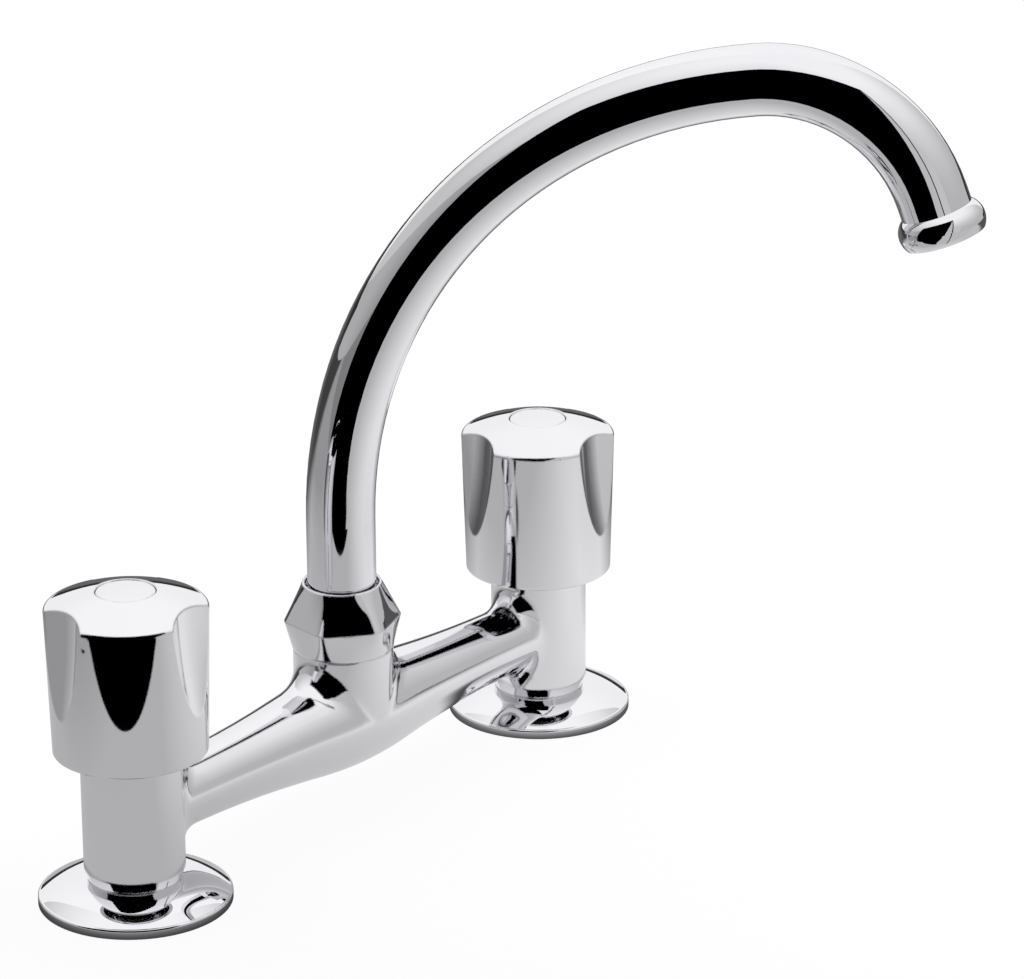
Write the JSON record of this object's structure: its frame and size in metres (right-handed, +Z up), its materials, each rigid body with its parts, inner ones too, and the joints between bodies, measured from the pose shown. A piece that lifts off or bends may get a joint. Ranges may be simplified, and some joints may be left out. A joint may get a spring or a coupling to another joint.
{
  "type": "two handle kitchen faucet",
  "caption": "Deck-mounted bridge tap: a cast bridge between threaded legs, a swivelling swan-neck spout on its central boss, and a fluted screw-down handle over each leg.",
  "frame": {"origin": "midway between the two tap holes, on the deck plane that the flanges stand on", "axes": "+Z up from the deck, -Y towards the user, +X from the hot leg on the left to the cold leg on the right"},
  "size_m": [0.2612, 0.2188, 0.3261],
  "materials": {
    "chrome": "polished",
    "brass": "machined",
    "zinc_steel": "zinc plated",
    "rubber": "matte",
    "fibre": "matte",
    "white_plastic": "satin",
    "grey_plastic": "satin"
  },
  "bodies": {
    "mixer_body": {"bridge_body": "chrome", "spout_nut": "chrome", "hot_flange": "chrome", "hot_flange_seal": "rubber", "hot_supply_tail": "brass", "hot_deck_washer": "rubber", "hot_clamp_washer": "zinc_steel", "hot_backnut": "brass", "hot_bonnet": "brass", "hot_bonnet_washer": "fibre", "cold_flange": "chrome", "cold_flange_seal": "rubber", "cold_supply_tail": "brass", "cold_deck_washer": "rubber", "cold_clamp_washer": "zinc_steel", "cold_backnut": "brass", "cold_bonnet": "brass", "cold_bonnet_washer": "fibre"},
    "spout": {"spout_tube": "chrome", "spout_spigot": "brass", "spout_o_rings": "rubber", "spout_slip_ring": "white_plastic", "nozzle_collar": "chrome", "aerator_washer": "rubber", "aerator_insert": "white_plastic", "aerator_screen": "grey_plastic"},
    "hot_valve": {"hot_handle": "chrome", "hot_index_button": "chrome", "hot_handle_screw": "zinc_steel", "hot_spindle": "brass", "hot_spindle_ring": "rubber", "hot_circlip": "zinc_steel"},
    "hot_plunger_set": {"hot_plunger": "brass", "hot_seat_washer": "rubber", "hot_washer_screw": "brass"},
    "cold_valve": {"cold_handle": "chrome", "cold_index_button": "chrome", "cold_handle_screw": "zinc_steel", "cold_spindle": "brass", "cold_spindle_ring": "rubber", "cold_circlip": "zinc_steel"},
    "cold_plunger_set": {"cold_plunger": "brass", "cold_seat_washer": "rubber", "cold_washer_screw": "brass"}
  },
  "joints": [
    {"name": "spout_swivel", "type": "hinge", "parent": "mixer_body", "child": "spout", "pos_m": [0, 0, 0.07], "axis": [0, 0, 1], "continuous": true},
    {"name": "hot_handle_turn", "type": "hinge", "parent": "mixer_body", "child": "hot_valve", "pos_m": [-0.1, 0, 0.075], "axis": [0, 0, 1], "range_deg": [0, 900]},
    {"name": "hot_plunger_lift", "type": "slide", "parent": "mixer_body", "child": "hot_plunger_set", "axis": [0, 0, 1], "range_m": [0, 0.005]},
    {"name": "cold_handle_turn", "type": "hinge", "parent": "mixer_body", "child": "cold_valve", "pos_m": [0.1, 0, 0.075], "axis": [0, 0, 1], "range_deg": [0, 900]},
    {"name": "cold_plunger_lift", "type": "slide", "parent": "mixer_body", "child": "cold_plunger_set", "axis": [0, 0, 1], "range_m": [0, 0.005]}
  ],
  "couplings": [
    {"joint": "hot_plunger_lift", "follows": "hot_handle_turn", "m_per_rad": 0.0003183},
    {"joint": "cold_plunger_lift", "follows": "cold_handle_turn", "m_per_rad": 0.0003183}
  ]
}
